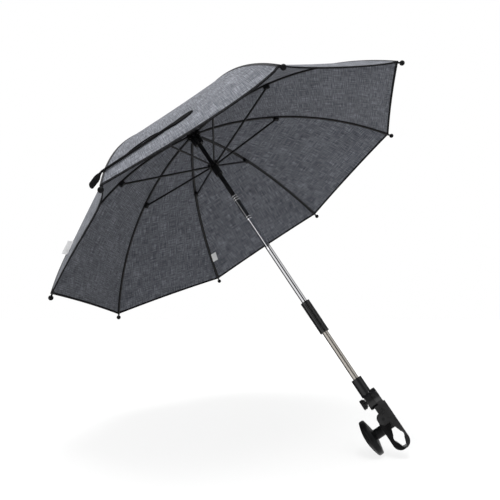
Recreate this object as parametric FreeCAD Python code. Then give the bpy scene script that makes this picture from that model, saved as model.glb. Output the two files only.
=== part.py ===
import FreeCAD, Part
import math
import os

# Pram parasol. The pole stands on +Z, the clamp's screw lies along X and the gripped tube along Y.
# Heights are measured from the middle of the tube seat. Lengths are in millimetres. Pieces are drawn about
# the pole's axis and then moved so that the seat's middle is the origin.
V = FreeCAD.Vector
AXIS_X = V(1, 0, 0)
AXIS_Y = V(0, 1, 0)
AXIS_Z = V(0, 0, 1)

# Heights along the pole
notch_z = 622.3
runner_drop = 72.5
runner_z = notch_z - runner_drop
bead_top_z = 477.3
bead_mid_z = 431.3
sleeve_top_z = 252.3
sleeve_low_z = 193.3
knuckle_z = 198.8
socket_top_z = 105.8
swivel_z = 66.5
jaw_pin_z = 33.8
screw_z = 20.0
clamp_low_z = -18.6

# Ribs, stretchers and canopy
rib_count = 8
rib_phase_deg = 22.5
pivot_r = 8.5
tip_r = 350.0
tip_drop = 169.0
joint_r = 161.0
clip_drop = 4.5
rib_w = 3.0
rib_h = 2.4
rib_eye_r = 1.8
rib_pin_r = 0.8
rib_pin_len = 5.4
ball_r = 4.0
neck_r = 1.3
neck_len = 5.0
clip_len = 10.0
clip_w = 5.4
clip_below = 2.2
clip_roof = 2.0
clip_slot_w = 2.6
clip_pin_r = 0.8
stretcher_w = 2.0
stretcher_h = 3.0
stretcher_eye_r = 1.7
stretcher_foot_r = 1.2
foot_pin_r = 0.6
foot_pin_len = 4.6
eye_fit = 0.06
panel_lift = 0.4
panel_t = 0.6
panel_crown_r = 15.0
hem_back = 2.5
seam_gap = 0.2
strap_w = 13.0
strap_t = 0.8
strap_lift = 0.4
strap_in = 130.0
strap_over = 18.0
strap_up = 36.0

# Notch, cap and runner
notch_r = 12.0
notch_top = 4.0
notch_low = 6.0
notch_roof = 2.2
notch_slot_w = 3.8
notch_core_r = 6.0
notch_pin_r = 0.85
notch_pin_len = 6.0
cap_r = 17.0
cap_h = 5.0
cap_lift = 5.6
finial_r = 5.0
finial_h = 9.0
runner_bore_r = 5.6
runner_body_r = 6.9
runner_flange_r = 11.0
runner_flange_h = 7.0
runner_low = 22.0
runner_slot_w = 2.6
runner_tee_in_r = 7.5
runner_tee_out_r = 9.5
runner_tee_w = 5.2

# Pole tubes, knuckle and lock sleeve
shaft_r = 4.0
shaft_sunk = 60.0
shaft_over = 5.0
chrome_r = 4.75
bead_r = 0.5
bead_pitch = 4.4
tube_wall = 0.8
lower_tube_r = 5.0
knuckle_eye_r = 4.2
knuckle_body_r = 4.0
knuckle_plug = 26.0
tongue_t = 3.6
fork_gap = 4.2
fork_t = 7.6
crotch_up = 4.6
shoulder_down = 4.9
knuckle_pin_r = 1.5
lower_plug = 20.0
sleeve_r = 7.9
sleeve_bore_r = 5.6
groove_count = 14
groove_r = 0.8

# Swivel
socket_r = 8.8
socket_bore_deep = 22.0
lug_r = 14.0
lug_clear = 0.6
lug_round = 1.8
lug_left_x = -7.4
lug_part_x = 5.2
lug_gap = 0.3
lug_right_x = 15.8
bolt_r = 3.0
bolt_fit = 0.05
thumb_r = 8.2
thumb_x = -16.2
thumb_gap = 0.4
thumb_collar_r = 6.5
thumb_collar_len = 2.0
thumb_round = 1.2
nut_t = 4.0
nut_flat_r = 5.5
thumb_flutes = 9
thumb_flute_r = 1.6

# Clamp
clamp_w = 24.0
seat_x = 5.6
seat_r = 9.0
hole_end_w = 6.0
hole_half_h = 15.6
arm_right_x = 18.2
arm_left_x = -1.6
arm_top_z = 55.8
jaw_left_x = -9.9
corner_left_r = 12.0
corner_right_r = 13.0
part_gap = 0.3
jaw_pin_x = 0.0
boss_r = 9.2
boss_clear = 0.6
boss_w = 12.0
boss_side_gap = 0.3
jaw_pin_r = 2.5
stud_r = 3.0
stud_fit = 0.05
stud_left_x = -33.0
stud_head_r = 5.5
stud_head_t = 4.0
slot_w = 7.0
slot_up = 4.8
slot_down = 9.3
washer_t = 1.0
washer_r = 8.0
hub_r = 8.0
hub_end_x = -22.8
knob_r = 28.4
knob_t = 12.2
knob_dome = 6.0
knob_neck_r = 9.6
knob_back = 4.2
rim_round = 3.0
edge_round = 1.6


def cyl(radius, length, base, axis):
    return Part.makeCylinder(radius, length, base, axis)


def block(x0, x1, y0, y1, z0, z1):
    return Part.makeBox(x1 - x0, y1 - y0, z1 - z0, V(x0, y0, z0))


def slab(x0, x1, z0, z1, width):
    return block(x0, x1, -width / 2, width / 2, z0, z1)


def across(radius, width, x, z):
    return cyl(radius, width, V(x, -width / 2, z), AXIS_Y)


def turned(shape, degrees):
    copy = shape.copy()
    copy.rotate(V(0, 0, 0), AXIS_Z, degrees)
    return copy


def spoke_deg(index):
    return rib_phase_deg + 360.0 * index / rib_count


# The joint lies half-way between notch and runner, so that rib and stretcher are equally long.
joint_drop = runner_drop / 2


def circle_through(a, b, c):
    d = 2 * (a[0] * (b[1] - c[1]) + b[0] * (c[1] - a[1]) + c[0] * (a[1] - b[1]))
    qa = a[0] ** 2 + a[1] ** 2
    qb = b[0] ** 2 + b[1] ** 2
    qc = c[0] ** 2 + c[1] ** 2
    x = (qa * (b[1] - c[1]) + qb * (c[1] - a[1]) + qc * (a[1] - b[1])) / d
    z = (qa * (c[0] - b[0]) + qb * (a[0] - c[0]) + qc * (b[0] - a[0])) / d
    return x, z, math.hypot(a[0] - x, a[1] - z)


pivot = (pivot_r, notch_z)
joint = (joint_r, notch_z - joint_drop)
tip = (tip_r, notch_z - tip_drop)
joint_slope = math.atan2(tip_drop, tip_r - pivot_r)
above_joint = (joint[0] + clip_drop * math.sin(joint_slope), joint[1] + clip_drop * math.cos(joint_slope))
arc_x, arc_z, arc_r = circle_through(pivot, above_joint, tip)


def arc_angle(point):
    return math.atan2(point[1] - arc_z, point[0] - arc_x)


def arc_point(radius, angle, side=0):
    return V(arc_x + radius * math.cos(angle), side, arc_z + radius * math.sin(angle))


def arc_edge(radius, start, end, side):
    middle = arc_point(radius, (start + end) / 2, side)
    return Part.Arc(arc_point(radius, start, side), middle, arc_point(radius, end, side)).toShape()


rib_start = arc_angle(pivot)
rib_end = arc_angle(tip) + neck_len / arc_r


def make_rib():
    side = -rib_w / 2
    outer = arc_edge(arc_r + rib_h / 2, rib_start, rib_end, side)
    inner = arc_edge(arc_r - rib_h / 2, rib_start, rib_end, side)
    ends = []
    for angle in (rib_start, rib_end):
        low = arc_point(arc_r - rib_h / 2, angle, side)
        ends.append(Part.makeLine(low, arc_point(arc_r + rib_h / 2, angle, side)))
    wire = Part.Wire(Part.__sortEdges__([outer, inner] + ends))
    strip = Part.Face(wire).extrude(V(0, rib_w, 0))
    eye = across(rib_eye_r, rib_w, pivot[0], pivot[1])
    pin = across(rib_pin_r, rib_pin_len, pivot[0], pivot[1])
    return strip.fuse([eye, pin, make_clip(strip)]).removeSplitter()


def make_clip(strip):
    body = slab(-clip_len / 2, clip_len / 2, -clip_below, clip_drop, clip_w)
    slot = slab(-clip_len, clip_len, -clip_len, clip_roof, clip_slot_w)
    body = body.cut(slot)
    tangent = arc_angle(above_joint) - math.pi / 2
    body.rotate(V(0, 0, 0), AXIS_Y, -math.degrees(tangent))
    body.translate(V(joint[0], 0, joint[1]))
    pin = across(clip_pin_r, clip_w, joint[0], joint[1])
    return body.fuse(pin)


def make_rib_tip():
    ball = Part.makeSphere(ball_r, V(tip[0], 0, tip[1]))
    root = arc_point(arc_r, rib_end)
    axis = V(tip[0], 0, tip[1]) - root
    return ball.fuse(cyl(neck_r, axis.Length, root, axis)).removeSplitter()


def make_stretcher():
    foot = V(pivot_r, 0, runner_z)
    head = V(joint[0], 0, joint[1])
    run = head - foot
    bar = slab(0, run.Length, -stretcher_h / 2, stretcher_h / 2, stretcher_w)
    bar = bar.cut(slab(-stretcher_h, stretcher_h, -stretcher_h, stretcher_h, stretcher_w))
    bar = bar.fuse(slab(0, stretcher_h, -stretcher_foot_r, stretcher_foot_r, stretcher_w))
    bar = bar.fuse(across(stretcher_foot_r, stretcher_w, 0, 0))
    bar = bar.fuse(across(stretcher_eye_r, stretcher_w, run.Length, 0))
    bar = bar.fuse(across(foot_pin_r, foot_pin_len, 0, 0))
    bar = bar.cut(across(clip_pin_r + eye_fit, clip_w, run.Length, 0))
    bar.rotate(V(0, 0, 0), AXIS_Y, -math.degrees(math.atan2(run.z, run.x)))
    bar.translate(foot)
    return bar.removeSplitter()


panel_low = arc_r + rib_h / 2 + panel_lift
panel_start = rib_start - (panel_crown_r - pivot_r) / arc_r
panel_end = rib_end + hem_back / arc_r


def make_panel():
    step = 360.0 / rib_count
    edges = {}
    for name, radius in (("low", panel_low), ("top", panel_low + panel_t)):
        first = arc_edge(radius, panel_start, panel_end, seam_gap)
        second = arc_edge(radius, panel_start, panel_end, -seam_gap)
        edges[name] = (first, turned(second, step))
    faces = [Part.makeRuledSurface(*edges["low"]), Part.makeRuledSurface(*edges["top"])]
    corners = []
    for k in range(2):
        low = edges["low"][k]
        top = edges["top"][k]
        start = Part.makeLine(low.firstVertex(True).Point, top.firstVertex(True).Point)
        end = Part.makeLine(low.lastVertex(True).Point, top.lastVertex(True).Point)
        faces.append(Part.Face(Part.Wire(Part.__sortEdges__([low, end, top, start]))))
        corners.append((low, top))
    around = (corners[0][0], corners[1][0], corners[1][1], corners[0][1])
    starts = [edge.firstVertex(True).Point for edge in around]
    ends = [edge.lastVertex(True).Point for edge in around]
    for ring in (starts, ends):
        faces.append(Part.Face(Part.makePolygon(ring + ring[:1])))
    shell = Part.makeShell(faces)
    shell.sewShape()
    return Part.Solid(shell)


def make_strap():
    half_step = math.radians(180.0 / rib_count)
    angle = panel_end + strap_up / arc_r
    foot = arc_point(panel_low + panel_t + strap_lift, angle)
    reach = foot.x * math.cos(half_step)
    half_chord = foot.x * math.sin(half_step)
    tilt = math.degrees(math.pi / 2 - angle)
    corner = V(-strap_w / 2, -half_chord - strap_over, 0)
    strip = Part.makeBox(strap_w, strap_in + strap_over, strap_t, corner)
    strip.rotate(V(0, 0, 0), AXIS_Y, tilt)
    strip.translate(V(reach, 0, foot.z))
    return turned(strip, math.degrees(half_step))


def make_top_notch():
    body = cyl(notch_r, notch_top + notch_low, V(0, 0, notch_z - notch_low), AXIS_Z)
    body = body.cut(cyl(shaft_r, notch_top + notch_low, V(0, 0, notch_z - notch_low), AXIS_Z))
    low = notch_z - notch_low
    roof = notch_z + notch_roof
    side = notch_slot_w / 2
    for k in range(rib_count):
        slot = block(notch_core_r, notch_r + rib_w, -side, side, low, roof)
        pocket = across(notch_pin_r, notch_pin_len, pivot[0], pivot[1])
        body = body.cut(turned(slot.fuse(pocket), spoke_deg(k)))
    return body


def make_top_cap():
    base_z = notch_z + cap_lift
    dome = Part.makeCone(cap_r, finial_r, cap_h, V(0, 0, base_z), AXIS_Z)
    post = cyl(finial_r, cap_lift - notch_top, V(0, 0, notch_z + notch_top), AXIS_Z)
    stem = cyl(finial_r, finial_h - finial_r, V(0, 0, base_z + cap_h), AXIS_Z)
    ball = Part.makeSphere(finial_r, V(0, 0, base_z + cap_h + finial_h - finial_r))
    bore = cyl(shaft_r, shaft_over, V(0, 0, notch_z), AXIS_Z)
    return dome.fuse([post, stem, ball]).cut(bore).removeSplitter()


def make_runner():
    flange_z = runner_z - runner_flange_h / 2
    flange = cyl(runner_flange_r, runner_flange_h, V(0, 0, flange_z), AXIS_Z)
    top = flange_z + runner_flange_h
    side = runner_slot_w / 2
    for k in range(rib_count):
        slot = block(runner_body_r, runner_flange_r + rib_w, -side, side, flange_z, top)
        tee = block(runner_tee_in_r, runner_tee_out_r, -runner_tee_w / 2, runner_tee_w / 2, flange_z, top)
        flange = flange.cut(turned(slot.fuse(tee), spoke_deg(k)))
    body_h = runner_low + runner_flange_h / 2
    body = cyl(runner_body_r, body_h, V(0, 0, runner_z - runner_low), AXIS_Z)
    bore = cyl(runner_bore_r, body_h, V(0, 0, runner_z - runner_low), AXIS_Z)
    return flange.fuse(body).cut(bore).removeSplitter()


def make_canopy_shaft():
    low = bead_top_z - shaft_sunk
    high = notch_z + shaft_over
    outer = cyl(shaft_r, high - low, V(0, 0, low), AXIS_Z)
    return outer.cut(cyl(shaft_r - tube_wall, high - low, V(0, 0, low), AXIS_Z))


def make_chrome_tube():
    low = knuckle_z + crotch_up + bead_pitch
    high = bead_top_z + bead_pitch / 2
    tube = cyl(chrome_r, high - low, V(0, 0, low), AXIS_Z)
    heights = [bead_top_z - k * bead_pitch for k in range(3)]
    heights += [bead_mid_z - k * bead_pitch for k in range(2)]
    for height in heights:
        tube = tube.fuse(Part.makeTorus(chrome_r, bead_r, V(0, 0, height), AXIS_Z))
    return tube.cut(cyl(shaft_r, high - low, V(0, 0, low), AXIS_Z)).removeSplitter()


def make_knuckle_upper():
    crotch = knuckle_z + crotch_up
    ears = slab(-knuckle_eye_r, knuckle_eye_r, knuckle_z, crotch, fork_t)
    ears = ears.fuse(across(knuckle_eye_r, fork_t, 0, knuckle_z))
    ears = ears.cut(slab(-sleeve_r, sleeve_r, knuckle_z - sleeve_r, crotch, fork_gap))
    collar = cyl(chrome_r, bead_pitch, V(0, 0, crotch), AXIS_Z)
    plug = cyl(knuckle_body_r, knuckle_plug, V(0, 0, crotch), AXIS_Z)
    round_bar = cyl(chrome_r, sleeve_r * 2, V(0, 0, knuckle_z - sleeve_r), AXIS_Z)
    body = ears.common(round_bar).fuse([collar, plug])
    return body.cut(across(knuckle_pin_r, fork_t, 0, knuckle_z)).removeSplitter()


def make_knuckle_lower():
    shoulder = knuckle_z - shoulder_down
    tongue = slab(-knuckle_eye_r, knuckle_eye_r, shoulder, knuckle_z, tongue_t)
    tongue = tongue.fuse(across(knuckle_eye_r, tongue_t, 0, knuckle_z))
    plug = cyl(lower_tube_r - tube_wall, lower_plug, V(0, 0, shoulder - lower_plug), AXIS_Z)
    body = tongue.fuse(plug)
    return body.cut(across(knuckle_pin_r + eye_fit, tongue_t, 0, knuckle_z)).removeSplitter()


def make_knuckle_pin():
    return across(knuckle_pin_r, fork_t, 0, knuckle_z)


def make_lower_tube():
    low = socket_top_z - socket_bore_deep
    high = knuckle_z - shoulder_down
    outer = cyl(lower_tube_r, high - low, V(0, 0, low), AXIS_Z)
    return outer.cut(cyl(lower_tube_r - tube_wall, high - low, V(0, 0, low), AXIS_Z))


def make_lock_sleeve():
    length = sleeve_top_z - sleeve_low_z
    sleeve = cyl(sleeve_r, length, V(0, 0, sleeve_low_z), AXIS_Z)
    sleeve = sleeve.cut(cyl(sleeve_bore_r, length, V(0, 0, sleeve_low_z), AXIS_Z))
    margin = bead_pitch
    for k in range(groove_count):
        groove = cyl(groove_r, length - 2 * margin, V(sleeve_r, 0, sleeve_low_z + margin), AXIS_Z)
        sleeve = sleeve.cut(turned(groove, 360.0 * k / groove_count))
    return sleeve


def round_lug(x0, x1, round_x):
    disc = cyl(lug_r, x1 - x0, V(x0, 0, swivel_z), AXIS_X)
    rims = [e for e in disc.Edges if abs(e.Length - 2 * math.pi * lug_r) < lug_gap]
    rims = [e for e in rims if abs(e.CenterOfMass.x - round_x) < lug_gap]
    return disc.makeFillet(lug_round, rims)


def make_swivel_socket():
    lug = round_lug(lug_left_x, lug_part_x, lug_left_x)
    barrel = cyl(socket_r, socket_top_z - swivel_z, V(0, 0, swivel_z), AXIS_Z)
    reach = lug_r + lug_clear
    room = cyl(reach, lug_right_x, V(lug_part_x, 0, swivel_z), AXIS_X)
    seat_top_z = swivel_z + thumb_r + thumb_gap
    thumb_seat = slab(-socket_r, lug_left_x, swivel_z, seat_top_z, 2 * socket_r)
    barrel = barrel.cut([room, thumb_seat])
    bore_low = socket_top_z - socket_bore_deep
    body = lug.fuse(barrel).cut(cyl(lower_tube_r, socket_bore_deep, V(0, 0, bore_low), AXIS_Z))
    hole = cyl(bolt_r + bolt_fit, lug_part_x - lug_left_x, V(lug_left_x, 0, swivel_z), AXIS_X)
    return body.cut(hole).removeSplitter()


def make_swivel_bolt():
    head_end = lug_left_x - thumb_gap
    head_len = head_end - thumb_collar_len - thumb_x
    head = cyl(thumb_r, head_len, V(thumb_x, 0, swivel_z), AXIS_X)
    rims = [e for e in head.Edges if abs(e.Length - 2 * math.pi * thumb_r) < thumb_gap]
    head = head.makeFillet(thumb_round, rims)
    for k in range(thumb_flutes):
        angle = 2 * math.pi * k / thumb_flutes
        side = V(thumb_x, thumb_r * math.cos(angle), swivel_z + thumb_r * math.sin(angle))
        head = head.cut(cyl(thumb_flute_r, head_len, side, AXIS_X))
    collar = cyl(thumb_collar_r, thumb_collar_len, V(thumb_x + head_len, 0, swivel_z), AXIS_X)
    shank = cyl(bolt_r, lug_right_x - head_end, V(head_end, 0, swivel_z), AXIS_X)
    return head.fuse([collar, shank]).removeSplitter()


def nut_prism():
    corners = []
    for k in range(7):
        angle = 2 * math.pi * k / 6
        corners.append(V(lug_right_x, nut_flat_r * math.cos(angle), swivel_z + nut_flat_r * math.sin(angle)))
    return Part.Face(Part.makePolygon(corners)).extrude(V(-nut_t, 0, 0))


def make_swivel_nut():
    return nut_prism().cut(cyl(bolt_r + bolt_fit, nut_t, V(lug_right_x - nut_t, 0, swivel_z), AXIS_X))


def clamp_outline():
    left_x = jaw_left_x + corner_left_r
    left_z = clamp_low_z + corner_left_r
    right_x = arm_right_x - corner_right_r
    right_z = clamp_low_z + corner_right_r
    body = slab(jaw_left_x, arm_right_x, clamp_low_z, arm_top_z, clamp_w)
    body = body.cut(slab(jaw_left_x, left_x, clamp_low_z, left_z, clamp_w))
    body = body.cut(slab(right_x, arm_right_x, clamp_low_z, right_z, clamp_w))
    left = across(corner_left_r, clamp_w, left_x, left_z)
    right = across(corner_right_r, clamp_w, right_x, right_z)
    body = body.fuse([left, right]).removeSplitter()
    rims = [e for e in body.Edges if abs(abs(e.CenterOfMass.y) - clamp_w / 2) < part_gap]
    return body.makeFillet(edge_round, rims)


def tube_hole():
    seat = across(seat_r, clamp_w, seat_x, 0)
    half_end = hole_end_w / 2
    right = [(half_end, hole_half_h), (seat_r, 0), (half_end, -hole_half_h)]
    left = [(-x, z) for x, z in reversed(right)]
    points = [V(seat_x + x, -clamp_w / 2, z) for x, z in right + left + right[:1]]
    vee = Part.Face(Part.makePolygon(points)).extrude(V(0, clamp_w, 0))
    return seat.fuse(vee)


def make_clamp_arm():
    body = clamp_outline().cut(tube_hole())
    jaw_top_z = jaw_pin_z - boss_r / 2
    body = body.cut(slab(jaw_left_x, seat_x + part_gap / 2, clamp_low_z, jaw_top_z, clamp_w))
    body = body.cut(slab(jaw_left_x, arm_left_x, jaw_top_z, arm_top_z, clamp_w))
    body = body.fuse(across(boss_r, clamp_w, jaw_pin_x, jaw_pin_z))
    lug_x = lug_part_x + lug_gap
    lug = round_lug(lug_x, lug_right_x, lug_right_x)
    neck = block(lug_x, lug_right_x, -clamp_w / 2, clamp_w / 2, arm_top_z - corner_right_r, swivel_z)
    body = body.fuse([lug, neck])
    room_w = boss_w + 2 * boss_side_gap
    body = body.cut(across(boss_r + boss_clear, room_w, jaw_pin_x, jaw_pin_z))
    body = body.cut(cyl(lug_r + lug_clear, lug_x - lug_left_x, V(lug_left_x, 0, swivel_z), AXIS_X))
    body = body.cut(cyl(bolt_r + bolt_fit, lug_right_x, V(0, 0, swivel_z), AXIS_X)).cut(nut_prism())
    body = body.cut(across(jaw_pin_r, clamp_w, jaw_pin_x, jaw_pin_z))
    return body.cut(make_clamp_stud()).removeSplitter()


def make_clamp_jaw():
    body = clamp_outline().cut(tube_hole())
    body = body.cut(slab(seat_x - part_gap / 2, arm_right_x, clamp_low_z, arm_top_z, clamp_w))
    body = body.cut(slab(jaw_left_x, arm_right_x, jaw_pin_z - boss_r / 2, arm_top_z, clamp_w))
    body = body.cut(across(boss_r + boss_clear, clamp_w, jaw_pin_x, jaw_pin_z))
    boss = across(boss_r, boss_w, jaw_pin_x, jaw_pin_z)
    web = slab(jaw_pin_x - boss_r, seat_x - part_gap / 2, screw_z, jaw_pin_z, boss_w)
    web = web.cut(across(jaw_pin_r, clamp_w, jaw_pin_x, jaw_pin_z))
    body = body.fuse([boss, web])
    body = body.cut(across(jaw_pin_r + eye_fit, clamp_w, jaw_pin_x, jaw_pin_z))
    slot = slab(jaw_left_x, arm_right_x, screw_z - slot_down, screw_z + slot_up, slot_w)
    return body.cut(slot).removeSplitter()


def make_jaw_pin():
    return across(jaw_pin_r, clamp_w, jaw_pin_x, jaw_pin_z)


def make_clamp_stud():
    head_x = arm_right_x - stud_head_t
    shank = cyl(stud_r, head_x - stud_left_x, V(stud_left_x, 0, screw_z), AXIS_X)
    return shank.fuse(cyl(stud_head_r, stud_head_t, V(head_x, 0, screw_z), AXIS_X)).removeSplitter()


def make_thrust_washer():
    base = V(jaw_left_x - washer_t, 0, screw_z)
    return cyl(washer_r, washer_t, base, AXIS_X).cut(cyl(stud_r + stud_fit, washer_t, base, AXIS_X))


def make_clamp_knob():
    hub_x = jaw_left_x - washer_t
    face_x = hub_end_x - knob_t
    profile = [(hub_x, 0), (hub_x, hub_r), (hub_end_x, hub_r), (hub_end_x, knob_neck_r)]
    profile += [(hub_end_x - knob_back, knob_r), (face_x, knob_r)]
    points = [V(x, 0, screw_z + r) for x, r in profile]
    crown = V(face_x - knob_dome, 0, screw_z)
    dome_r = (knob_r ** 2 + knob_dome ** 2) / (2 * knob_dome)
    half_turn = math.asin(knob_r / dome_r) / 2
    bulge_x = face_x - knob_dome + dome_r * (1 - math.cos(half_turn))
    bulge = V(bulge_x, 0, screw_z + dome_r * math.sin(half_turn))
    edges = [Part.makeLine(a, b) for a, b in zip(points, points[1:])]
    edges.append(Part.Arc(points[-1], bulge, crown).toShape())
    edges.append(Part.makeLine(crown, points[0]))
    knob = Part.Face(Part.Wire(edges)).revolve(V(0, 0, screw_z), AXIS_X, 360)
    rims = [e for e in knob.Edges if abs(e.Length - 2 * math.pi * knob_r) < part_gap]
    knob = knob.makeFillet(rim_round, rims)
    bore = cyl(stud_r + stud_fit, hub_x - stud_left_x, V(stud_left_x, 0, screw_z), AXIS_X)
    return knob.cut(bore).removeSplitter()


def save(name, shape):
    if shape.Volume < 0:
        shape.reverse()
    print(name, round(shape.Volume, 1), shape.isValid(), len(shape.Solids))
    shape.translate(V(-seat_x, 0, 0))
    shape.exportStep(os.path.join("parts", name + ".step"))


single_parts = {
    "clamp_arm": make_clamp_arm,
    "clamp_jaw": make_clamp_jaw,
    "jaw_pin": make_jaw_pin,
    "clamp_stud": make_clamp_stud,
    "thrust_washer": make_thrust_washer,
    "clamp_knob": make_clamp_knob,
    "swivel_socket": make_swivel_socket,
    "swivel_bolt": make_swivel_bolt,
    "swivel_nut": make_swivel_nut,
    "lower_tube": make_lower_tube,
    "knuckle_lower": make_knuckle_lower,
    "knuckle_upper": make_knuckle_upper,
    "knuckle_pin": make_knuckle_pin,
    "lock_sleeve": make_lock_sleeve,
    "chrome_tube": make_chrome_tube,
    "canopy_shaft": make_canopy_shaft,
    "runner": make_runner,
    "top_notch": make_top_notch,
    "top_cap": make_top_cap,
}
spoke_parts = {
    "rib": make_rib,
    "rib_tip": make_rib_tip,
    "stretcher": make_stretcher,
    "canopy_panel": make_panel,
}
strap_rib = 6

os.makedirs("parts", exist_ok=True)
for part_name, maker in single_parts.items():
    save(part_name, maker())
for part_name, maker in spoke_parts.items():
    spoke = maker()
    for k in range(rib_count):
        save("%s_%d" % (part_name, k + 1), turned(spoke, spoke_deg(k)))
save("tie_strap", turned(make_strap(), spoke_deg(strap_rib - 1)))
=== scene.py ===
import bpy, bmesh, math
from mathutils import Matrix, Vector


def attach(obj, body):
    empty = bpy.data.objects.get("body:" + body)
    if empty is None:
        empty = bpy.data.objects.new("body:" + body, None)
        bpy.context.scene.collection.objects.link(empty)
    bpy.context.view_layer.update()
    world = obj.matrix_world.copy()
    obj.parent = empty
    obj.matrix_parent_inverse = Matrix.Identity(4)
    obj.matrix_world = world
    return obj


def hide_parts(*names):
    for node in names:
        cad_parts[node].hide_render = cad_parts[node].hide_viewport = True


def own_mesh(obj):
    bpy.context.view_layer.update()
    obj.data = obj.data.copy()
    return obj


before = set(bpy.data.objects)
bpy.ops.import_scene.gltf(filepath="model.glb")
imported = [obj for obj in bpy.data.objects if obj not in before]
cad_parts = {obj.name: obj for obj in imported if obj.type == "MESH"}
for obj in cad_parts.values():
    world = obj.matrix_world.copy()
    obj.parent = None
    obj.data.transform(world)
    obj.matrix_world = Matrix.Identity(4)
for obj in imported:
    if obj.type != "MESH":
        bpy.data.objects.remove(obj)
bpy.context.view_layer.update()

scene = bpy.context.scene

# Ribs, pole and panels, in metres, from the same sizes as the solids
RIBS = 8
PHASE = math.radians(22.5)
STEP = 2 * math.pi / RIBS
NOTCH_Z = 0.6223
POLE_X = -0.0056
TUBE_R = 0.00475
PIVOT_R = 0.0085
TIP_R = 0.350
TIP_DROP = 0.169
JOINT_R = 0.161
JOINT_DROP = 0.03625
CLIP_DROP = 0.0045
RIB_H = 0.0024
NECK = 0.005
HEM_BACK = 0.0025
CROWN_R = 0.015
PANEL_LIFT = 0.0004


def circle_through(a, b, c):
    """The middle and the radius of the circle through three points of a plane."""
    d = 2 * (a[0] * (b[1] - c[1]) + b[0] * (c[1] - a[1]) + c[0] * (a[1] - b[1]))
    qa, qb, qc = (p[0] ** 2 + p[1] ** 2 for p in (a, b, c))
    x = (qa * (b[1] - c[1]) + qb * (c[1] - a[1]) + qc * (a[1] - b[1])) / d
    z = (qa * (c[0] - b[0]) + qb * (a[0] - c[0]) + qc * (b[0] - a[0])) / d
    return x, z, math.hypot(a[0] - x, a[1] - z)


# Rib circle in the radial plane, through the pivot, the stretcher's clip and the tip
SLOPE = math.atan2(TIP_DROP, TIP_R - PIVOT_R)
P_PIVOT = (PIVOT_R, NOTCH_Z)
P_JOINT = (JOINT_R + CLIP_DROP * math.sin(SLOPE), NOTCH_Z - JOINT_DROP + CLIP_DROP * math.cos(SLOPE))
P_TIP = (TIP_R, NOTCH_Z - TIP_DROP)
ARC_X, ARC_Z, ARC_R = circle_through(P_PIVOT, P_JOINT, P_TIP)
A_PIVOT = math.atan2(P_PIVOT[1] - ARC_Z, P_PIVOT[0] - ARC_X)
A_TIP = math.atan2(P_TIP[1] - ARC_Z, P_TIP[0] - ARC_X)
A_CROWN = A_PIVOT - (CROWN_R - PIVOT_R) / ARC_R
A_HEM = A_TIP + (NECK + HEM_BACK) / ARC_R
SKIN_R = ARC_R + RIB_H / 2 + PANEL_LIFT
PANEL_LEN = (A_CROWN - A_HEM) * SKIN_R


def at(radius, turn, height):
    """A point at a radius and turn about the pole."""
    return Vector((POLE_X + radius * math.cos(turn), radius * math.sin(turn), height))


def ease(f):
    """A share from 0 to 1 that starts and ends level."""
    return f * f * (3 - 2 * f)


# Shader nodes
def grey(level):
    return (level, level, level)


def feed(nt, socket, value):
    """Give a socket a number or a colour, or link another socket to it."""
    if isinstance(value, (int, float)):
        socket.default_value = value
    elif isinstance(value, tuple):
        socket.default_value = (*value, 1)
    else:
        nt.links.new(value, socket)


def place_in(nt, space):
    return nt.nodes.new("ShaderNodeTexCoord").outputs[space]


def split_xyz(nt, source):
    node = nt.nodes.new("ShaderNodeSeparateXYZ")
    feed(nt, node.inputs[0], source)
    return node.outputs


def math_node(nt, kind, *values):
    node = nt.nodes.new("ShaderNodeMath")
    node.operation = kind
    for socket, value in zip(node.inputs, values):
        feed(nt, socket, value)
    return node.outputs[0]


def mixed(nt, kind, factor, first, second):
    """A colour mix; each input is a socket or a fixed value."""
    node = nt.nodes.new("ShaderNodeMix")
    node.data_type = "RGBA"
    node.blend_type = kind
    for index, value in ((0, factor), (6, first), (7, second)):
        feed(nt, node.inputs[index], value)
    return node.outputs[2]


def mix_shader(nt, factor, first, second):
    node = nt.nodes.new("ShaderNodeMixShader")
    for socket, value in zip(node.inputs, (factor, first, second)):
        feed(nt, socket, value)
    return node.outputs[0]


def noise(nt, scale, detail=3.0, coord=None, stretch=None):
    tex = nt.nodes.new("ShaderNodeTexNoise")
    tex.inputs["Scale"].default_value = scale
    tex.inputs["Detail"].default_value = detail
    if coord is None:
        coord = place_in(nt, "Object")
    if stretch:
        mapping = nt.nodes.new("ShaderNodeMapping")
        mapping.inputs["Scale"].default_value = stretch
        feed(nt, mapping.inputs["Vector"], coord)
        coord = mapping.outputs["Vector"]
    feed(nt, tex.inputs["Vector"], coord)
    return tex.outputs["Fac"]


def ramp(nt, source, stops):
    """Colours along a value, from pairs of place and colour."""
    node = nt.nodes.new("ShaderNodeValToRGB")
    elements = node.color_ramp.elements
    while len(elements) < len(stops):
        elements.new(0.5)
    for element, (place, colour) in zip(elements, stops):
        element.position = place
        element.color = (*colour, 1)
    feed(nt, node.inputs["Fac"], source)
    return node.outputs["Color"]


def bump(nt, bsdf, height, strength, distance):
    node = nt.nodes.new("ShaderNodeBump")
    node.inputs["Strength"].default_value = strength
    node.inputs["Distance"].default_value = distance
    feed(nt, node.inputs["Height"], height)
    feed(nt, bsdf.inputs["Normal"], node.outputs["Normal"])


def seen_directly(nt):
    """1 for camera, glossy and transmission rays."""
    path = nt.nodes.new("ShaderNodeLightPath").outputs
    shiny = math_node(nt, "MAXIMUM", path["Is Glossy Ray"], path["Is Transmission Ray"])
    return math_node(nt, "MAXIMUM", path["Is Camera Ray"], shiny)


def new_mat(name, base, rough, metallic=0.0):
    mat = bpy.data.materials.new(name)
    mat.use_nodes = True
    nt = mat.node_tree
    bsdf = nt.nodes["Principled BSDF"]
    bsdf.inputs["Base Color"].default_value = (*base, 1)
    bsdf.inputs["Roughness"].default_value = rough
    bsdf.inputs["Metallic"].default_value = metallic
    return mat, nt, bsdf


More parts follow.
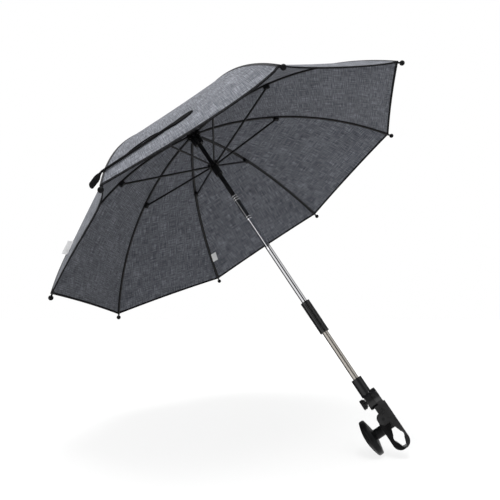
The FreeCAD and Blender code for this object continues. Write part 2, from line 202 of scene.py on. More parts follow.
# Moulded plastic: wear shifts its tone and its gloss, over a fine grain
WEAR_SCALE = 60.0
WEAR_FROM, WEAR_TO = 0.35, 0.75
WEAR_DARK, WEAR_LIGHT, WEAR_DUST = 0.8, 1.5, 0.001
GLOSS_FROM, GLOSS_TO = 0.3, 0.7
POLISH, SCUFF = 0.08, 0.1
GRAIN_STRENGTH, GRAIN_DEPTH = 0.18, 0.0002


def plastic(name, base, rough, grain=900.0, shine=0.25):
    mat, nt, bsdf = new_mat(name, base, rough)
    bsdf.inputs["Specular IOR Level"].default_value = shine
    wear = noise(nt, WEAR_SCALE)
    low = tuple(c * WEAR_DARK for c in base)
    high = tuple(c * WEAR_LIGHT + WEAR_DUST for c in base)
    feed(nt, bsdf.inputs["Base Color"], ramp(nt, wear, [(WEAR_FROM, low), (WEAR_TO, high)]))
    dullness = [(GLOSS_FROM, grey(rough - POLISH)), (GLOSS_TO, grey(rough + SCUFF))]
    feed(nt, bsdf.inputs["Roughness"], ramp(nt, wear, dullness))
    bump(nt, bsdf, noise(nt, grain), GRAIN_STRENGTH, GRAIN_DEPTH)
    return mat


# Brushed metal: streaks shift its tone and its gloss; painted shade can darken it above a height
STREAK_SCALE, STREAK_DETAIL = 1200.0, 2.0
STREAK_DARK = 0.9
STREAK_SMOOTH, STREAK_ROUGH = 0.7, 1.5
BRUSHED_Z, BRUSHED_X = (1, 1, 0.02), (0.02, 1, 1)
BEAD_RISE = 0.00012


def metal(name, base, rough, brush=BRUSHED_Z, painted_shade=None):
    """Painted shade gives two heights and the share of the colour left above the second, beads apart: it
    darkens the tube under the canopy, where it would reflect the dark cloth.
    """
    mat, nt, bsdf = new_mat(name, base, rough, 1.0)
    streak = noise(nt, STREAK_SCALE, STREAK_DETAIL, None, brush)
    dullness = [(GLOSS_FROM, grey(rough * STREAK_SMOOTH)), (GLOSS_TO, grey(rough * STREAK_ROUGH))]
    feed(nt, bsdf.inputs["Roughness"], ramp(nt, streak, dullness))
    dark = tuple(c * STREAK_DARK for c in base)
    colour = ramp(nt, streak, [(GLOSS_FROM, dark), (GLOSS_TO, base)])
    # Painted shade: the colour is darkened above a height, for the dark canopy seen in the tube, beads apart
    if painted_shade:
        low_z, high_z, share = painted_shade
        split = split_xyz(nt, place_in(nt, "Object"))
        shade = ramp(nt, split["Z"], [(low_z, grey(1)), (high_z, grey(share))])
        across = math_node(nt, "POWER", math_node(nt, "SUBTRACT", split["X"], POLE_X), 2.0)
        deep = math_node(nt, "POWER", split["Y"], 2.0)
        from_axis = math_node(nt, "SQRT", math_node(nt, "ADD", across, deep))
        plain = math_node(nt, "LESS_THAN", from_axis, TUBE_R + BEAD_RISE)
        colour = mixed(nt, "MULTIPLY", plain, colour, shade)
    feed(nt, bsdf.inputs["Base Color"], colour)
    return mat


# Woven cloth: slubs both ways, fine fibres and broad clouds; tapes have rows of stitches
CLOTH_ROUGH, SHEEN_ROUGH = 0.85, 0.5
FIBRE_RATE, CLOUD_RATE = 1700, 14
SLUB_SHARE, CLOUD_SHARE = 0.4, 0.1
DARK_AT, MID_AT, LIGHT_AT = 0.38, 0.5, 0.62
WAVE_RATE = 20
WEAVE_STRENGTH, WEAVE_DEPTH = 0.4, 0.0003
STITCH, STITCH_SHARE, STITCH_HALF, STITCH_RISE = 0.0032, 0.7, 0.0003, 2.0


def cloth(name, dark, mid, light, thread=0.0006, slub=(860, 44), lines=(), across=0,
          yarn=(0.1, 0.1, 0.11), sheen=0.1, shine=0.2):
    """Plain weave in metre UVs; lines are the stitched rows' places along the UV axis across."""
    mat, nt, bsdf = new_mat(name, mid, CLOTH_ROUGH)
    bsdf.inputs["Specular IOR Level"].default_value = shine
    bsdf.inputs["Sheen Weight"].default_value = sheen
    bsdf.inputs["Sheen Roughness"].default_value = SHEEN_ROUGH
    uv = place_in(nt, "UV")
    warp = noise(nt, 1.0, 2.0, uv, (slub[0], slub[1], 1))
    weft = noise(nt, 1.0, 2.0, uv, (slub[1], slub[0], 1))
    fibres = noise(nt, 1.0, 3.0, uv, (FIBRE_RATE, FIBRE_RATE, 1))
    clouds = noise(nt, 1.0, 2.0, uv, (CLOUD_RATE, CLOUD_RATE, 1))
    slubs = math_node(nt, "MULTIPLY", math_node(nt, "ADD", warp, weft), SLUB_SHARE)
    haze = math_node(nt, "MULTIPLY", math_node(nt, "ADD", fibres, clouds), CLOUD_SHARE)
    blend = math_node(nt, "ADD", slubs, haze)
    colour = ramp(nt, blend, [(DARK_AT, dark), (MID_AT, mid), (LIGHT_AT, light)])
    waves = []
    for direction in ("X", "Y"):
        wave = nt.nodes.new("ShaderNodeTexWave")
        wave.bands_direction = direction
        wave.inputs["Scale"].default_value = 2 * math.pi / thread / WAVE_RATE
        feed(nt, wave.inputs["Vector"], uv)
        waves.append(wave.outputs["Fac"])
    height = math_node(nt, "MULTIPLY", *waves)
    if lines:
        split = split_xyz(nt, uv)
        dash = math_node(nt, "FRACT", math_node(nt, "MULTIPLY", split[1 - across], 1 / STITCH))
        dash = math_node(nt, "LESS_THAN", dash, STITCH_SHARE)
        for line in lines:
            off = math_node(nt, "ABSOLUTE", math_node(nt, "SUBTRACT", split[across], line))
            mask = math_node(nt, "MULTIPLY", math_node(nt, "LESS_THAN", off, STITCH_HALF), dash)
            colour = mixed(nt, "MIX", mask, colour, yarn)
            height = math_node(nt, "ADD", height, math_node(nt, "MULTIPLY", mask, STITCH_RISE))
    feed(nt, bsdf.inputs["Base Color"], colour)
    bump(nt, bsdf, height, WEAVE_STRENGTH, WEAVE_DEPTH)
    return mat


# Materials
HEM_W = 0.0026
HEM_TUCK = 0.009
SEAM_W = 0.0064
SEAM_STITCHES = (SEAM_W * 0.2, SEAM_W * 0.8)
# Painted shade on the polished tube: its colour darkens above the beads, under the canopy, in place of the
# dark cloth it reflects
PAINTED_TUBE_SHADE = (0.4255, 0.4275, 0.22)
BLACK = plastic("black_moulding", (0.0032, 0.0032, 0.0036), 0.3, shine=0.46)
ARM = plastic("arm_moulding", (0.0034, 0.0034, 0.0038), 0.3, shine=0.78)
KNOB = plastic("knob_moulding", (0.0032, 0.0032, 0.0035), 0.32, shine=0.17)
GRIP = plastic("fluted_grip", (0.004, 0.004, 0.0044), 0.26, shine=0.62)
BALL = plastic("tip_ball", (0.004, 0.004, 0.0045), 0.42, grain=300.0, shine=0.07)
GLOSS = plastic("black_gloss", (0.006, 0.006, 0.0065), 0.36, grain=300.0)
ENAMEL = plastic("black_enamel", (0.005, 0.005, 0.0055), 0.42, grain=1500.0)
CHROME = metal("polished_chrome", (0.8, 0.8, 0.82), 0.035, painted_shade=PAINTED_TUBE_SHADE)
NICKEL = metal("satin_nickel", (0.56, 0.525, 0.48), 0.28)
STEEL = metal("zinc_steel", (0.58, 0.58, 0.59), 0.32, BRUSHED_X)
CLOTH = cloth("melange_weave", (0.051, 0.056, 0.068), (0.128, 0.135, 0.156), (0.31, 0.322, 0.358),
              lines=(PANEL_LEN - HEM_TUCK,), across=1, yarn=(0.05, 0.05, 0.055))
HEM = cloth("hem_binding", (0.006, 0.006, 0.007), (0.012, 0.012, 0.013), (0.025, 0.025, 0.027),
            thread=0.0007, slub=(900, 200), sheen=0.0, shine=0.08)
SEAM = cloth("seam_tape", (0.012, 0.012, 0.014), (0.022, 0.022, 0.025), (0.045, 0.045, 0.049),
             thread=0.0007, slub=(900, 200), lines=SEAM_STITCHES, yarn=(0.06, 0.06, 0.065))
STRAP = cloth("strap_webbing", (0.003, 0.003, 0.0035), (0.006, 0.006, 0.0065), (0.014, 0.014, 0.015),
              thread=0.0011, slub=(900, 300), sheen=0.0, shine=0.08)
TAG = cloth("white_tag", grey(0.82), grey(0.9), grey(0.94), thread=0.0005, slub=(1500, 400))

node_mats = {
    "clamp_arm": ARM, "clamp_jaw": KNOB, "clamp_knob": KNOB, "swivel_socket": BLACK, "swivel_bolt": BLACK,
    "lock_sleeve": GRIP, "knuckle_lower": BLACK, "knuckle_upper": BLACK, "runner": GLOSS, "top_notch": GLOSS,
    "top_cap": GLOSS, "jaw_pin": BLACK, "clamp_stud": STEEL, "thrust_washer": BLACK, "swivel_nut": STEEL,
    "knuckle_pin": STEEL, "lower_tube": NICKEL, "chrome_tube": CHROME, "canopy_shaft": ENAMEL,
}
for i in range(1, RIBS + 1):
    node_mats["rib_%d" % i] = ENAMEL
    node_mats["rib_tip_%d" % i] = BALL
    node_mats["stretcher_%d" % i] = ENAMEL
for name, mat in node_mats.items():
    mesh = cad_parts[name].data
    mesh.materials.clear()
    mesh.materials.append(mat)


# Canopy: each panel is two half sheets that meet on its middle line
ROWS, COLS = 44, 14
SKIN = 0.0005
SAG, SAG_FROM, SAG_SPAN = 0.0008, 0.05, 0.9
SCALLOP, SCALLOP_POWER = 0.002, 6
# The panels round the strap are slack and sag inwards along their hems
SLACK = {5: 0.0076, 6: 0.0080, 7: 0.0056}
SLACK_SKEW = {5: 4.2, 6: 1.7, 7: 1.0}
SLACK_EVEN = {5: 0.0022}
SLACK_ROUND, EVEN_ROUND = 0.6, 0.3
SLACK_POWER = 5


def spoke(i):
    """The turn of rib i about the pole."""
    return PHASE + STEP * (i - 1)


def skin_point(i, u, v, lift=0.0):
    """A point of panel i: u runs from crown to hem, v from rib i to rib i + 1."""
    cup = max(0.0, 4 * v * (1 - v))
    slack = SLACK.get(i, 0.0)
    back = 0.0 if slack else SCALLOP * cup * u ** SCALLOP_POWER
    angle = A_CROWN + (A_HEM - A_CROWN) * u + back / ARC_R
    radius = SKIN_R + lift
    r = ARC_X + radius * math.cos(angle)
    z = ARC_Z + radius * math.sin(angle)
    a, b = spoke(i), spoke(i + 1)
    p = at(r, a, z).lerp(at(r, b, z), v)
    mid = (a + b) / 2
    inward = Vector((-math.cos(angle) * math.cos(mid), -math.cos(angle) * math.sin(mid), -math.sin(angle)))
    w = min(1.0, max(0.0, v)) ** SLACK_SKEW.get(i, 1.0)
    sag = SAG * cup * math.sin(math.pi * min(1.0, u * SAG_SPAN + SAG_FROM))
    sag += slack * (4 * w * (1 - w)) ** SLACK_ROUND * u ** SLACK_POWER
    sag += SLACK_EVEN.get(i, 0.0) * cup ** EVEN_ROUND * u ** SLACK_POWER
    return p + inward * sag


def add_piece(name, bm, mat, sharp):
    """Finish a mesh, smooth but for edges sharper than an angle, and add it to the scene."""
    bmesh.ops.recalc_face_normals(bm, faces=bm.faces)
    for face in bm.faces:
        face.smooth = True
    for edge in bm.edges:
        edge.smooth = edge.calc_face_angle(0.0) <= sharp
    mesh = bpy.data.meshes.new(name)
    bm.to_mesh(mesh)
    bm.free()
    mesh.materials.append(mat)
    obj = bpy.data.objects.new(name, mesh)
    scene.collection.objects.link(obj)
    return obj


SHEET_SHARP = 0.8


def sheet_mesh(name, grid, mat, weave=None):
    """A closed thin sheet from a grid of (outer, inner) points, with UVs in metres from weave or the grid."""
    bm = bmesh.new()
    uv = bm.loops.layers.uv.new("UVMap")
    rows, cols = len(grid), len(grid[0])
    top = [[bm.verts.new(grid[a][b][0]) for b in range(cols)] for a in range(rows)]
    low = [[bm.verts.new(grid[a][b][1]) for b in range(cols)] for a in range(rows)]
    coords = {}
    down = 0.0
    for a in range(rows):
        if a:
            down += (grid[a][0][0] - grid[a - 1][0][0]).length
        run = 0.0
        for b in range(cols):
            if b:
                run += (grid[a][b][0] - grid[a][b - 1][0]).length
            coords[top[a][b]] = coords[low[a][b]] = weave[a][b] if weave else (run, down)

    def face(*verts):
        for loop in bm.faces.new(verts).loops:
            loop[uv].uv = coords[loop.vert]

    for a in range(rows - 1):
        for b in range(cols - 1):
            face(top[a][b], top[a + 1][b], top[a + 1][b + 1], top[a][b + 1])
            face(low[a][b], low[a][b + 1], low[a + 1][b + 1], low[a + 1][b])
    ring = [(0, b) for b in range(cols)] + [(a, cols - 1) for a in range(1, rows)]
    ring += [(rows - 1, b) for b in range(cols - 2, -1, -1)] + [(a, 0) for a in range(rows - 2, 0, -1)]
    for k, (a, b) in enumerate(ring):
        c, d = ring[(k + 1) % len(ring)]
        face(top[a][b], top[c][d], low[c][d], low[a][b])
    return add_piece(name, bm, mat, SHEET_SHARP)


# Folding: each half sheet rides on its rib's body; a pleat's tilt and the share kept below set the gussets'
# widths
FOLD_TILT = math.radians(25)
FOLD_KEEP = 0.02


def rib_chord(rib):
    """The middle of a rib's chord, and the direction square to it in the radial plane."""
    a = spoke(rib)
    up = Vector((math.sin(SLOPE) * math.cos(a), math.sin(SLOPE) * math.sin(a), math.cos(SLOPE)))
    return at((P_PIVOT[0] + P_TIP[0]) / 2, a, (P_PIVOT[1] + P_TIP[1]) / 2), up


def fold(piece, rib):
    """Let a piece ride on a rib, with a mesh of its own."""
    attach(piece, "rib_body_%d" % rib)
    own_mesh(piece)


def half_grid(i, side, first, last, rows, lift_out, lift_in):
    """Points of half a panel, from its rib to its middle line and between two places u."""
    grid = []
    for a in range(rows + 1):
        u = first + (last - first) * a / rows
        row = []
        for b in range(COLS + 1):
            v = 0.5 * b / COLS
            v = v if side > 0 else 1 - v
            row.append((skin_point(i, u, v, lift_out), skin_point(i, u, v, lift_in)))
        grid.append(row)
    return grid


def half_weave(grid, side):
    """Cloth coordinates of a half sheet, measured from the panel's middle line and from the crown."""
    weave = []
    for a, row in enumerate(grid):
        middle = row[-1][0]
        along = a / (len(grid) - 1) * PANEL_LEN
        weave.append([(-side * (p[0] - middle).length, along) for p in row])
    return weave


# A half panel is cut half a chord between two tips wide, and as long as the panel with its hem turned under
HEM_T = 0.0007
HEM_LAST = 1.003
HEM_ROWS = 3
for i in range(1, RIBS + 1):
    for side, label in ((1, "a"), (-1, "b")):
        rib = i if side > 0 else i % RIBS + 1
        tail = "%d_%s" % (i, label)
        grid = half_grid(i, side, 0.0, 1.0, ROWS, SKIN, 0.0)
        half = sheet_mesh("canopy_sheet_" + tail, grid, CLOTH, half_weave(grid, side))
        hem_grid = half_grid(i, side, 1.0 - HEM_W / PANEL_LEN, HEM_LAST, HEM_ROWS, SKIN + HEM_T, -HEM_T)
        hem = sheet_mesh("canopy_hem_" + tail, hem_grid, HEM)
        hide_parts("canopy_panel_%d" % i)
        fold(half, rib)
        fold(hem, rib)


def on_sheet(panel, u, v, lift):
    """A point on the flat facets of a panel's half sheets."""
    cell = v * 2 * COLS
    low = min(2 * COLS - 1, math.floor(cell))
    start = skin_point(panel, u, low / 2 / COLS, lift)
    return start.lerp(skin_point(panel, u, (low + 1) / 2 / COLS, lift), cell - low)


def rib_strip(i, rows, spots, lifts, point):
    """Points of a strip along rib i, over the panels on both sides; rows are places u and half widths."""
    before = (i - 2) % RIBS + 1
    grid = []
    for u, half in rows:
        chord = (skin_point(i, u, 1.0) - skin_point(i, u, 0.0)).length
        row = []
        for s in spots:
            panel, v = (i, s * half / chord) if s >= 0 else (before, 1 + s * half / chord)
            row.append(tuple(point(panel, u, v, lift) for lift in lifts))
        grid.append(row)
    return grid


# Gussets: the cloth that stays spread along each rib between the pleats, inside the sheets when open
GUSSET_REACH = 1.06
GUSSET_LEAST = 0.002
GUSSET_LAST = 0.95
GUSSET_LIFTS = (0.00036, 0.00014)
GUSSET_SPOTS = [k / 4 for k in range(-4, 5)]
for i in range(1, RIBS + 1):
    anchor, up = rib_chord(i)
    rows = []
    for k in range(1, round(ROWS * GUSSET_LAST) + 1):
        u = k / ROWS
        bulge = (skin_point(i, u, 0.0) - anchor).dot(up)
        shift = (1 - FOLD_KEEP) * math.sin(FOLD_TILT) * math.cos(FOLD_TILT) * bulge
        rows.append((u, max(GUSSET_LEAST, shift * GUSSET_REACH)))
    grid = rib_strip(i, rows, GUSSET_SPOTS, GUSSET_LIFTS, on_sheet)
    gusset = sheet_mesh("rib_gusset_%d" % i, grid, CLOTH)
    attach(gusset, "rib_body_%d" % i)

# Seam tapes along the ribs, inside and out: their first place u, and their lifts
SEAM_OUT, SEAM_TOP, SEAM_LOW = 0.0007, -0.0001, -0.0005
SEAM_TAPES = {"outer": (0.0, (SKIN + SEAM_OUT, SKIN)), "inner": (0.03, (SEAM_TOP, SEAM_LOW))}
SEAM_SPOTS = [k / 2 for k in range(-2, 3)]
for i in range(1, RIBS + 1):
    for label, (first, lifts) in SEAM_TAPES.items():
        rows = [(first + (1 - first) * k / ROWS, SEAM_W / 2) for k in range(ROWS + 1)]
        seam = sheet_mesh("seam_%s_%d" % (label, i), rib_strip(i, rows, SEAM_SPOTS, lifts, skin_point), SEAM)
        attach(seam, "rib_body_%d" % i)


def facing(first, second, upward):
    """The direction square to two others, on the upper or the lower side."""
    square = first.cross(second).normalized()
    return square if (square.z > 0) == upward else -square


# Closing strap: a tab sewn on the near panel, an elastic cord and a loose end tab that hangs past the rib
STRAP_PANEL = 6
STRAP_UP = 0.032
STRAP_SLANT = 0.145
STRAP_U = 1 - STRAP_UP / PANEL_LEN
STRAP_NEAR = 0.01
STRAP_STEP = 0.001
STRAP_SPOTS = (-1, -0.9, -0.6, -0.2, 0.2, 0.6, 0.9, 1)
STRAP_EDGE, STRAP_ROUND = 0.5, 4
TWIST = math.radians(62)
TWIST_RUN = 0.009
HANG_SHARE = 0.32
# Place along the strap from the rib, half width, thickness and lift
STRAP_ROWS = (
    (-0.0245, 0.0014, 0.0012, 0.0020), (-0.0238, 0.0030, 0.0014, 0.0020), (-0.0220, 0.0042, 0.0016, 0.0020),
    (-0.0110, 0.0045, 0.0016, 0.0020), (-0.0070, 0.0036, 0.0018, 0.0020), (-0.0040, 0.0024, 0.0022, 0.0020),
    (0.0050, 0.0018, 0.0028, 0.0016), (0.0960, 0.0018, 0.0028, 0.0008), (0.1040, 0.0040, 0.0024, 0.0008),
    (0.1100, 0.0058, 0.0018, 0.0007), (0.1270, 0.0066, 0.0016, 0.0007), (0.1350, 0.0050, 0.0014, 0.0007),
    (0.1390, 0.0026, 0.0012, 0.0007), (0.1400, 0.0010, 0.0010, 0.0007))
CORD_ROWS = (
    (0.0300, 0.0006, 0.0010, 0.0008), (0.0340, 0.0008, 0.0016, 0.0010), (0.0860, 0.0008, 0.0016, 0.0010),
    (0.0900, 0.0006, 0.0010, 0.0008))
CORD_BOW = 0.0115

near_rib, far_rib = (skin_point(STRAP_PANEL, STRAP_U, v) for v in (0.0, 1.0))
strap_chord = (far_rib - near_rib).length
along = (far_rib - near_rib).normalized()
above, under = (skin_point(STRAP_PANEL, STRAP_U + step, 0.0) for step in (-STRAP_NEAR, STRAP_NEAR))
out_dir = facing((under - above).normalized(), along, True)
wide_dir = along.cross(out_dir).normalized()


def row_at(rows, place):
    """The row at a place, eased between the rows on both sides of it."""
    for low, high in zip(rows, rows[1:]):
        if place <= high[0]:
            f = ease((place - low[0]) / (high[0] - low[0]))
            return [a + (b - a) * f for a, b in zip(low, high)]
    return rows[-1]


def strap_mesh(name, rows, bow=0.0, side=1):
    """A strap on one half of the near panel; places below 0 hang free past the rib and turn to the front."""
    start, end = rows[0][0], rows[-1][0]
    if side > 0:
        end = min(end, strap_chord / 2)
    else:
        start = max(start, strap_chord / 2)
    steps = max(4, round((end - start) / STRAP_STEP))
    grid = []
    for k in range(steps + 1):
        place, half_w, thick, lift = row_at(rows, start + (end - start) * k / steps)
        on, past = max(0.0, place), max(0.0, -place)
        up = (bow * math.sin(math.pi * k / steps) + STRAP_SLANT * on) / PANEL_LEN
        foot = skin_point(STRAP_PANEL, STRAP_U - up, on / strap_chord, SKIN + lift)
        foot = foot - along * past - out_dir * (past * HANG_SHARE)
        turn = TWIST * ease(min(1.0, past / TWIST_RUN))
        wide = wide_dir * math.cos(turn) - out_dir * math.sin(turn)
        out = out_dir * math.cos(turn) + wide_dir * math.sin(turn)
        row = []
        for c in STRAP_SPOTS:
            puff = thick * (STRAP_EDGE + (1 - STRAP_EDGE) * (1 - c ** STRAP_ROUND))
            row.append((foot + wide * (c * half_w) + out * puff, foot + wide * (c * half_w)))
        grid.append(row)
    obj = sheet_mesh(name, grid, STRAP)
    fold(obj, STRAP_PANEL if side > 0 else STRAP_PANEL + 1)
    return obj, grid


strap, strap_grid = strap_mesh("closing_strap", STRAP_ROWS)
strap_end = strap_mesh("strap_end", STRAP_ROWS, side=-1)[0]
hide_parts("tie_strap")
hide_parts("tie_strap")
strap_mesh("strap_cord", CORD_ROWS, CORD_BOW)

# Blank tags: one sewn into a rib seam on the inside, one standing from a panel's outside near its hem
TAG_T = 0.0004
TAG_ROWS, TAG_COLS = 8, 6


def tag_mesh(name, corner, wide, tall, out, size, curl):
    """A tag from a corner, curling outwards; its cut also has the length tucked into the seam."""
    width, height = size
    grid = []
    for a in range(TAG_ROWS + 1):
        f = a / TAG_ROWS
        row = []
        for b in range(TAG_COLS + 1):
            g = b / TAG_COLS
            base = corner + wide * (width * g) + tall * (height * f) + out * (curl * f * f)
            row.append((base + out * TAG_T, base))
        grid.append(row)
    obj = sheet_mesh(name, grid, TAG)
    return obj


def tag_frame(panel, u, v, du, dv, lift):
    """A point on a panel's skin, and the directions across the panel by dv and down it by du."""
    root = skin_point(panel, u, v, lift)
    across = (skin_point(panel, u, v + dv, lift) - root).normalized()
    return root, across, (skin_point(panel, u + du, v, lift) - root).normalized()


INNER_SIZE, INNER_CURL, INNER_INSET = (0.0195, 0.0125), 0.002, 0.0014
root, across, down = tag_frame(panel=2, u=0.838, v=1.0, du=0.04, dv=-0.1, lift=-0.0016)
inner_tag = tag_mesh("inner_tag", root + across * INNER_INSET, down, across, facing(across, down, False),
                     INNER_SIZE, INNER_CURL)
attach(inner_tag, "rib_body_3")

OUTER_SIZE, OUTER_CURL = (0.036, 0.0076), 0.0004
OUTER_STAND, OUTER_LEAN = 0.97, 0.26
root, across, down = tag_frame(panel=5, u=0.9, v=0.2, du=0.025, dv=0.06, lift=SKIN + TAG_T)
tag_out = facing(across, down, True)
tag_lean = (tag_out * OUTER_STAND + down * OUTER_LEAN).normalized()
outer_tag = tag_mesh("outer_tag", root, across, tag_lean, tag_out, OUTER_SIZE, OUTER_CURL)
fold(outer_tag, 5)


# Rings turned about the pole
RING_SIDES = 96
RING_SHARP = 0.6


def lathe(name, profile, mat, slot_r=None, slot_half=0.0):
    """A ring turned about the pole; slots open towards the ribs cut it back to slot_r."""
    bm = bmesh.new()
    rings = []
    for radius, height in profile:
        ring = []
        for k in range(RING_SIDES):
            turn = 2 * math.pi * (k + 0.5) / RING_SIDES
            off = (turn - PHASE + STEP / 2) % STEP - STEP / 2
            slotted = slot_r is not None and abs(off) < slot_half
            ring.append(bm.verts.new(at(min(radius, slot_r) if slotted else radius, turn, height)))
        rings.append(ring)
    for low, high in zip(rings, rings[1:] + rings[:1]):
        for k in range(RING_SIDES):
            after = (k + 1) % RING_SIDES
            bm.faces.new((low[k], low[after], high[after], high[k]))
    return add_piece(name, bm, mat, RING_SHARP)


# Slotted collar under the top notch; its outside is in shares of its radius and height
COLLAR_DROP = 0.0064
COLLAR_TOP = NOTCH_Z - COLLAR_DROP
COLLAR_R, COLLAR_BORE, COLLAR_H = 0.0094, 0.0041, 0.0165
COLLAR_SIDE = ((1.0, 0.0), (1.0, 0.8), (0.93, 0.95), (0.85, 1.0))
COLLAR_SLOT_R = 0.0064
COLLAR_SLOT_HALF = math.radians(14)
profile = [(COLLAR_R * out, COLLAR_TOP - COLLAR_H * down) for out, down in COLLAR_SIDE]
profile = [(COLLAR_BORE, COLLAR_TOP), *profile, (COLLAR_BORE, COLLAR_TOP - COLLAR_H)]
collar = lathe("notch_collar", profile, GLOSS, COLLAR_SLOT_R, COLLAR_SLOT_HALF)
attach(collar, "upper_pole")

# Cloth rosette that closes the crown between the notch and the cap
ROSETTE_IN, ROSETTE_OUT = 0.0122, 0.0166
ROSETTE_LIFT, ROSETTE_T = 0.0004, 0.0006
ROSETTE_Z = skin_point(1, 0.0, 0.0, SKIN).z + ROSETTE_LIFT
rosette = lathe("crown_rosette", (
    (ROSETTE_IN, ROSETTE_Z), (ROSETTE_OUT, ROSETTE_Z), (ROSETTE_OUT, ROSETTE_Z + ROSETTE_T),
    (ROSETTE_IN, ROSETTE_Z + ROSETTE_T)), HEM)
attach(rosette, "upper_pole")

# Camera of the photograph: it stands in front of the pole, looks up a little and is rolled
CAM_POS = Vector((-0.01293, -0.9547, 0.09826))
CAM_TURN, CAM_PITCH, CAM_ROLL = (math.radians(angle) for angle in (1.2843, 106.4065, -33.2602))
FOCAL_PX = 579.4
FRAME_PX = 500
SENSOR_MM = 36.0
cam_turned = Matrix.Rotation(CAM_TURN, 3, "Z") @ Matrix.Rotation(CAM_PITCH, 3, "X")
cam_turned = cam_turned @ Matrix.Rotation(CAM_ROLL, 3, "Z")
cam_x, cam_y, cam_z = cam_turned.transposed()
cam = bpy.data.cameras.new("camera")
cam.sensor_width = SENSOR_MM
cam.lens = FOCAL_PX / FRAME_PX * SENSOR_MM
cam_obj = bpy.data.objects.new("camera", cam)
cam_obj.matrix_world = Matrix.Translation(CAM_POS) @ cam_turned.to_4x4()
scene.collection.objects.link(cam_obj)
scene.camera = cam_obj

# Floor, as in the photograph: it faces up in the picture and lies under the clamp's knob
FLOOR_TILT = math.radians(-3)
FLOOR_GAP = 0.001
FLOOR_SPAN = 3.0
floor_up = (cam_y * math.cos(FLOOR_TILT) + cam_z * math.sin(FLOOR_TILT)).normalized()
floor_in = floor_up.cross(cam_x).normalized()
knob_low = min(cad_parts["clamp_knob"].data.vertices, key=lambda v: v.co.dot(floor_up)).co
floor_at = Vector(knob_low) - floor_up * FLOOR_GAP
corners = []
for across, deep in ((-1, -1), (1, -1), (1, 1), (-1, 1)):
    corners.append(tuple(floor_at + cam_x * (across * FLOOR_SPAN) + floor_in * (deep * FLOOR_SPAN)))
floor_mesh = bpy.data.meshes.new("floor")
floor_mesh.from_pydata(corners, [], [(0, 1, 2, 3)])
floor = bpy.data.objects.new("floor", floor_mesh)
scene.collection.objects.link(floor)
floor.visible_glossy = False

# The floor lets most of the white background through, all of it away from the part, and keeps a faint
# shadow, so a canopy that swings below it at a joint's limit still shows; from its underside it isn't seen
CENTRE = Vector((POLE_X, 0, 0.4))
FLOOR_GREY, FLOOR_ROUGH = 0.8, 0.95
SHADOW_GREY = 0.31
CLEAR_NEAR, CLEAR_FAR = (0.24, 0.81), (0.62, 1.0)
mat, nt, bsdf = new_mat("pale_floor", grey(FLOOR_GREY), FLOOR_ROUGH)
away = nt.nodes.new("ShaderNodeVectorMath")
away.operation = "DISTANCE"
away.inputs[1].default_value = CENTRE - floor_up * (CENTRE - floor_at).dot(floor_up)
feed(nt, away.inputs[0], place_in(nt, "Object"))
half_away = math_node(nt, "MULTIPLY", away.outputs["Value"], 0.5)
through = nt.nodes.new("ShaderNodeBsdfTransparent")
stops = [(place, grey(share)) for place, share in (CLEAR_NEAR, CLEAR_FAR)]
feed(nt, through.inputs["Color"], ramp(nt, half_away, stops))
shadowed = nt.nodes.new("ShaderNodeBsdfDiffuse")
feed(nt, shadowed.inputs["Color"], grey(SHADOW_GREY))
both = nt.nodes.new("ShaderNodeAddShader")
feed(nt, both.inputs[0], through.outputs[0])
feed(nt, both.inputs[1], shadowed.outputs[0])
upper = mix_shader(nt, seen_directly(nt), bsdf.outputs[0], both.outputs[0])
under = nt.nodes.new("ShaderNodeBsdfTransparent").outputs[0]
backfacing = nt.nodes.new("ShaderNodeNewGeometry").outputs["Backfacing"]
feed(nt, nt.nodes["Material Output"].inputs["Surface"], mix_shader(nt, backfacing, upper, under))
floor_mesh.materials.append(mat)

# World: white where it is seen, and a plain light otherwise
WORLD_LIGHT = 0.39
world = bpy.data.worlds.new("studio")
scene.world = world
world.use_nodes = True
wn = world.node_tree


def background(colour, strength=1.0):
    node = wn.nodes.new("ShaderNodeBackground")
    feed(wn, node.inputs["Color"], colour)
    feed(wn, node.inputs["Strength"], strength)
    return node.outputs[0]


# What shiny metal sees round the pole: the white background, a soft box at the left and dark cards beside it
BANDS = (
    (0.0, 0.05), (0.275, 0.05), (0.3, 1.0), (0.472, 1.0), (0.49, 0.05), (0.62, 0.05), (0.64, 1.0), (0.7, 1.0),
    (0.725, 0.35), (1.0, 0.45))
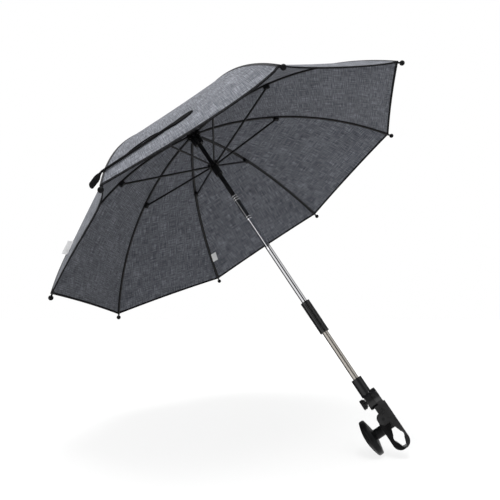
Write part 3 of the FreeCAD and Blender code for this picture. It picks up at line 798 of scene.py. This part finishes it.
# Below the horizon it sees the white floor
FLOOR_WHITE, FLOOR_GONE = 0.3, 0.46
heading = split_xyz(wn, place_in(wn, "Generated"))
turn = math_node(wn, "ARCTAN2", heading["X"], math_node(wn, "MULTIPLY", heading["Y"], -1.0))
turn = math_node(wn, "ADD", math_node(wn, "MULTIPLY", turn, 0.5 / math.pi), 0.5)
rise = math_node(wn, "ADD", math_node(wn, "MULTIPLY", heading["Z"], 0.5), 0.5)
bands = ramp(wn, turn, [(place, grey(level)) for place, level in BANDS])
low_white = ramp(wn, rise, [(FLOOR_WHITE, grey(1)), (FLOOR_GONE, grey(0))])
shine = background(mixed(wn, "MIX", low_white, bands, grey(1)))
glossy = wn.nodes.new("ShaderNodeLightPath").outputs["Is Glossy Ray"]
seen = mix_shader(wn, glossy, background(grey(1)), shine)
sky = mix_shader(wn, seen_directly(wn), background(grey(1), WORLD_LIGHT), seen)
feed(wn, wn.nodes["World Output"].inputs["Surface"], sky)

# Lamps: places are from the centre along the camera's axes
LAMP_SIZE = 1.2
KEY_AT, KEY_POWER = (0.0, 1.75, 0.2), 30
FILL_AT, FILL_POWER = (-0.8, -0.1, 1.4), 20
# Two small cards under the canopy, seen only in the polished tube: a white one and a grey one above it
CARD_AWAY = 0.12
CARDS = {"card": (-33, 0.43, 0.056, 0.075, 0.0138), "card_grey": (-50, 0.4925, 0.055, 0.055, 0.014)}


def area_light(name, pos, target, wide, tall, power):
    data = bpy.data.lights.new(name, "AREA")
    data.shape = "RECTANGLE"
    data.size = wide
    data.size_y = tall
    data.energy = power
    obj = bpy.data.objects.new(name, data)
    obj.location = pos
    obj.rotation_euler = (target - pos).to_track_quat("-Z", "Y").to_euler()
    scene.collection.objects.link(obj)
    return obj


def from_centre(place):
    return CENTRE + cam_x * place[0] + cam_y * place[1] + cam_z * place[2]


area_light("key", from_centre(KEY_AT), CENTRE, LAMP_SIZE, LAMP_SIZE, KEY_POWER)
fill = area_light("fill", from_centre(FILL_AT), CENTRE, LAMP_SIZE, LAMP_SIZE, FILL_POWER)
fill.visible_glossy = False
# Each card has a turn about the pole in degrees, a height, a width, a length and a power
for name, (turn, height, wide, tall, power) in CARDS.items():
    aside = Vector((math.sin(math.radians(turn)), -math.cos(math.radians(turn)), 0))
    pole_at = Vector((POLE_X, 0, height))
    card = area_light(name, pole_at + aside * CARD_AWAY, pole_at, wide, tall, power)
    card.visible_camera = False
    card.visible_diffuse = False

scene.view_settings.view_transform = "Standard"
